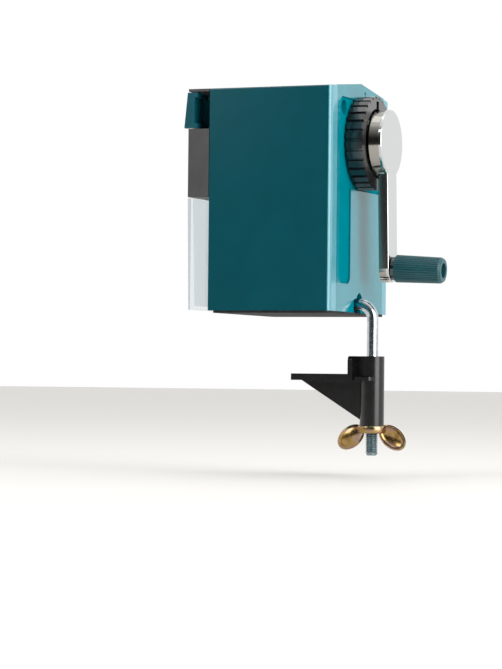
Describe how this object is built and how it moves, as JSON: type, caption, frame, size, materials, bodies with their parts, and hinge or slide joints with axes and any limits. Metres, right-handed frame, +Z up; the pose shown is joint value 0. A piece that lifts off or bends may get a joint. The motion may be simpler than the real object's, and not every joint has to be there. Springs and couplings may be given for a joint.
{
  "type": "pencil sharpener",
  "caption": "Hand-cranked desk pencil sharpener with a spring-fed pencil carriage, clear shavings drawer, point dial and screw table clamp.",
  "frame": {"origin": "middle of the body on the underside of its rubber sheet, where it stands on the table top", "axes": "+X out of the crank side, along the crank and pencil axis; +Y across the machine; +Z up, away from the table top"},
  "size_m": [0.1115, 0.0804, 0.1718],
  "materials": {
    "teal_abs": "satin moulded ABS",
    "teal_handle": "satin moulded ABS",
    "dark_abs": "fine textured ABS",
    "rubber_sheet": "matt rubber",
    "clear_styrene": "clear polystyrene",
    "black_nylon": "gloss black nylon",
    "chrome": "polished chrome plate",
    "bright_zinc": "bright zinc plate",
    "yellow_zinc": "yellow passivated zinc",
    "tool_steel": "ground hardened steel",
    "cast_zinc": "die cast zinc",
    "bronze": "sintered bronze",
    "spring_steel": "spring wire"
  },
  "bodies": {
    "housing": {"housing_shell": "teal_abs", "rear_panel": "teal_abs", "base_plate": "dark_abs", "anti_slip_mat": "rubber_sheet", "base_screws": "bright_zinc", "clamp_socket": "bright_zinc", "front_bulkhead": "dark_abs", "guide_bushes": "bronze", "bearing_plate": "cast_zinc", "ring_gear": "cast_zinc", "panel_screws": "bright_zinc", "detent_leaf": "spring_steel", "wheel_clip": "bright_zinc"},
    "bearing_sleeve": {"shaft_bush": "bronze"},
    "crank": {"crank_arm": "chrome", "crank_hub": "chrome", "shaft_nut": "bright_zinc", "drive_shaft": "tool_steel", "thrust_washer": "bright_zinc", "cutter_carrier": "cast_zinc", "cutter_axle": "tool_steel", "handle_bolt": "bright_zinc", "handle_washer": "dark_abs"},
    "handle": {"crank_handle": "teal_handle"},
    "cutter": {"helical_cutter": "tool_steel", "cutter_pinion": "tool_steel"},
    "wheel": {"adjusting_wheel": "dark_abs"},
    "carriage": {"feed_carriage": "dark_abs", "pencil_bush": "black_nylon", "jaw_guide": "dark_abs", "jaw_retainer": "bright_zinc", "guide_rods": "bright_zinc", "rod_screws": "bright_zinc", "feed_springs": "spring_steel", "near_grip_spring": "spring_steel", "far_grip_spring": "spring_steel"},
    "near_grip": {"near_grip": "teal_abs"},
    "far_grip": {"far_grip": "teal_abs"},
    "upper_jaw": {"upper_jaw": "cast_zinc"},
    "left_jaw": {"left_jaw": "cast_zinc"},
    "right_jaw": {"right_jaw": "cast_zinc"},
    "drawer": {"shavings_drawer": "clear_styrene"},
    "clamp_hook": {"hook_bolt": "bright_zinc"},
    "clamp_bracket": {"clamp_bracket": "black_nylon"},
    "wing_nut": {"wing_nut": "yellow_zinc"}
  },
  "joints": [
    {"name": "wheel_turn", "type": "hinge", "parent": "housing", "child": "wheel", "pos_m": [0.0395, 0, 0.0791], "axis": [1, 0, 0], "range_deg": [-121, 121]},
    {"name": "point_adjust", "type": "slide", "parent": "housing", "child": "bearing_sleeve", "axis": [1, 0, 0], "range_m": [-0.0007, 0.0007]},
    {"name": "crank_turn", "type": "hinge", "parent": "bearing_sleeve", "child": "crank", "pos_m": [0.03, 0, 0.0791], "axis": [1, 0, 0], "continuous": true},
    {"name": "cutter_spin", "type": "hinge", "parent": "crank", "child": "cutter", "pos_m": [0, 0, 0.08877], "axis": [0.9848, 0, -0.1736], "continuous": true},
    {"name": "handle_spin", "type": "hinge", "parent": "crank", "child": "handle", "pos_m": [0.05, 0.00332, 0.0216], "axis": [0.9989, 0, -0.0471], "continuous": true},
    {"name": "feed_slide", "type": "slide", "parent": "housing", "child": "carriage", "axis": [-1, 0, 0], "range_m": [0, 0.038], "stiffness_N_per_m": 110, "springref_m": -0.03, "deforming": ["feed_springs"]},
    {"name": "near_grip_press", "type": "slide", "parent": "carriage", "child": "near_grip", "axis": [0, 1, 0], "range_m": [0, 0.003], "stiffness_N_per_m": 500, "springref_m": -0.002, "deforming": ["near_grip_spring"]},
    {"name": "far_grip_press", "type": "slide", "parent": "carriage", "child": "far_grip", "axis": [0, -1, 0], "range_m": [0, 0.003], "deforming": ["far_grip_spring"]},
    {"name": "upper_jaw_slide", "type": "slide", "parent": "carriage", "child": "upper_jaw", "axis": [0, 0, 1], "range_m": [0, 0.003]},
    {"name": "left_jaw_slide", "type": "slide", "parent": "carriage", "child": "left_jaw", "axis": [0, -0.866, -0.5], "range_m": [0, 0.003]},
    {"name": "right_jaw_slide", "type": "slide", "parent": "carriage", "child": "right_jaw", "axis": [0, 0.866, -0.5], "range_m": [0, 0.003]},
    {"name": "drawer_slide", "type": "slide", "parent": "housing", "child": "drawer", "axis": [-1, 0, 0], "range_m": [0, 0.06]},
    {"name": "clamp_pull", "type": "slide", "parent": "housing", "child": "clamp_hook", "axis": [1, 0, 0], "range_m": [0, 0.03]},
    {"name": "clamp_slide", "type": "slide", "parent": "clamp_hook", "child": "clamp_bracket", "axis": [0, 0, 1], "range_m": [-0.0091, 0.0151]},
    {"name": "wing_nut_turn", "type": "hinge", "parent": "clamp_bracket", "child": "wing_nut", "pos_m": [0.04147, 0, -0.0527], "axis": [0, 0, 1], "range_deg": [-3240, 5400]}
  ],
  "couplings": [
    {"joint": "wheel_turn", "follows": "point_adjust", "rad_per_m": 2992},
    {"joint": "cutter_spin", "follows": "crank_turn", "ratio": -2},
    {"joint": "far_grip_press", "follows": "near_grip_press", "ratio": 1},
    {"joint": "upper_jaw_slide", "follows": "near_grip_press", "ratio": 1},
    {"joint": "left_jaw_slide", "follows": "near_grip_press", "ratio": 1},
    {"joint": "right_jaw_slide", "follows": "near_grip_press", "ratio": 1},
    {"joint": "clamp_slide", "follows": "wing_nut_turn", "m_per_rad": 0.00015915}
  ]
}
